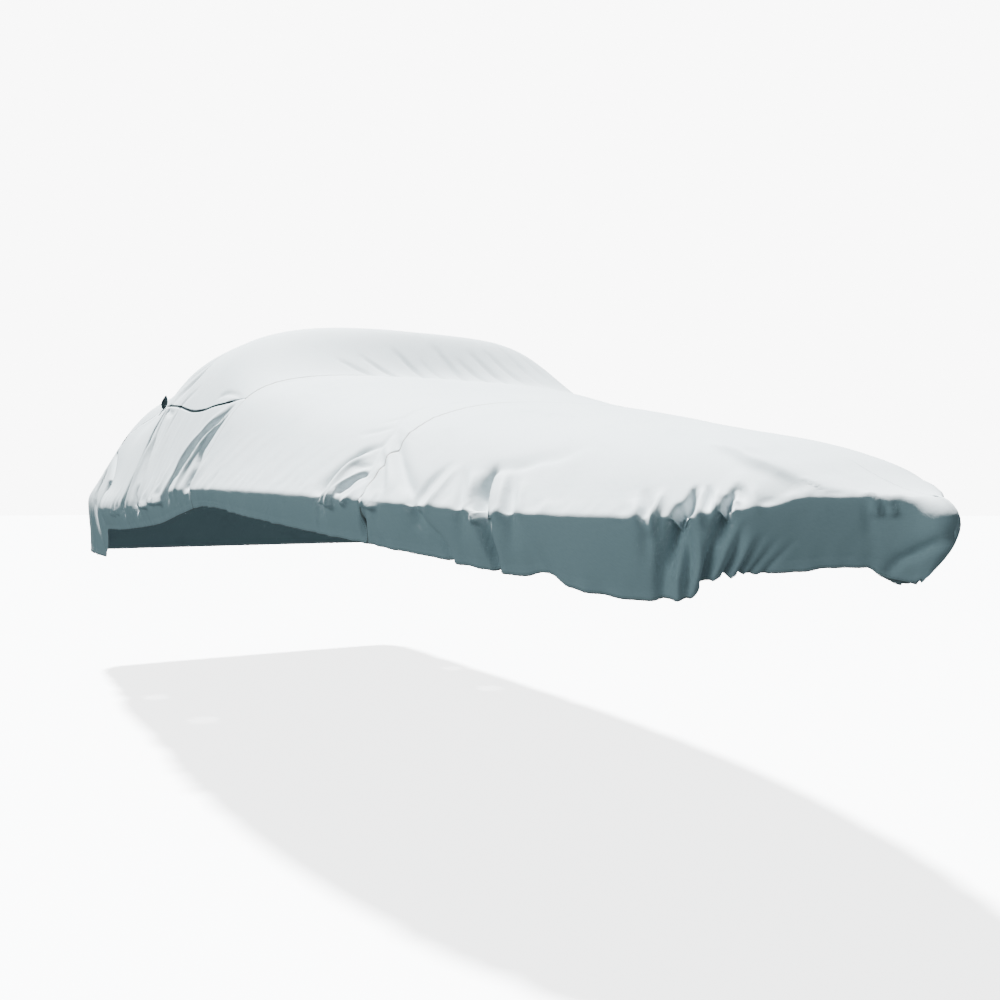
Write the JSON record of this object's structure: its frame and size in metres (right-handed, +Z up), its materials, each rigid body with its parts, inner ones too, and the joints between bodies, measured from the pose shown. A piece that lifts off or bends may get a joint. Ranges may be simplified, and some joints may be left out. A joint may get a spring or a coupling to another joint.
{
  "type": "boat cover",
  "caption": "Fitted cloth cover for an open boat: low sloped fore part, domed hood, side slits with openings for standing legs, and a skirt with a wavy drawn-in hem.",
  "frame": {"origin": "The point just under the crown of the hood, on the centre line, on which the boat's fittings hold the cover up (mount hood_prop_point).", "axes": "+X to the bow end, +Y to port, +Z up."},
  "size_m": [6.7278, 2.4973, 1.3446],
  "materials": {
    "cover_cloth": "matte",
    "closing_tape": "matte"
  },
  "bodies": {
    "root": {"bow_panel": "cover_cloth", "body_panel": "cover_cloth", "hood_panel": "cover_cloth", "transom_panel": "cover_cloth", "slit_tape_starboard": "closing_tape", "slit_tape_port": "closing_tape", "slit_tab_starboard": "closing_tape", "slit_tab_port": "closing_tape"}
  },
  "joints": []
}
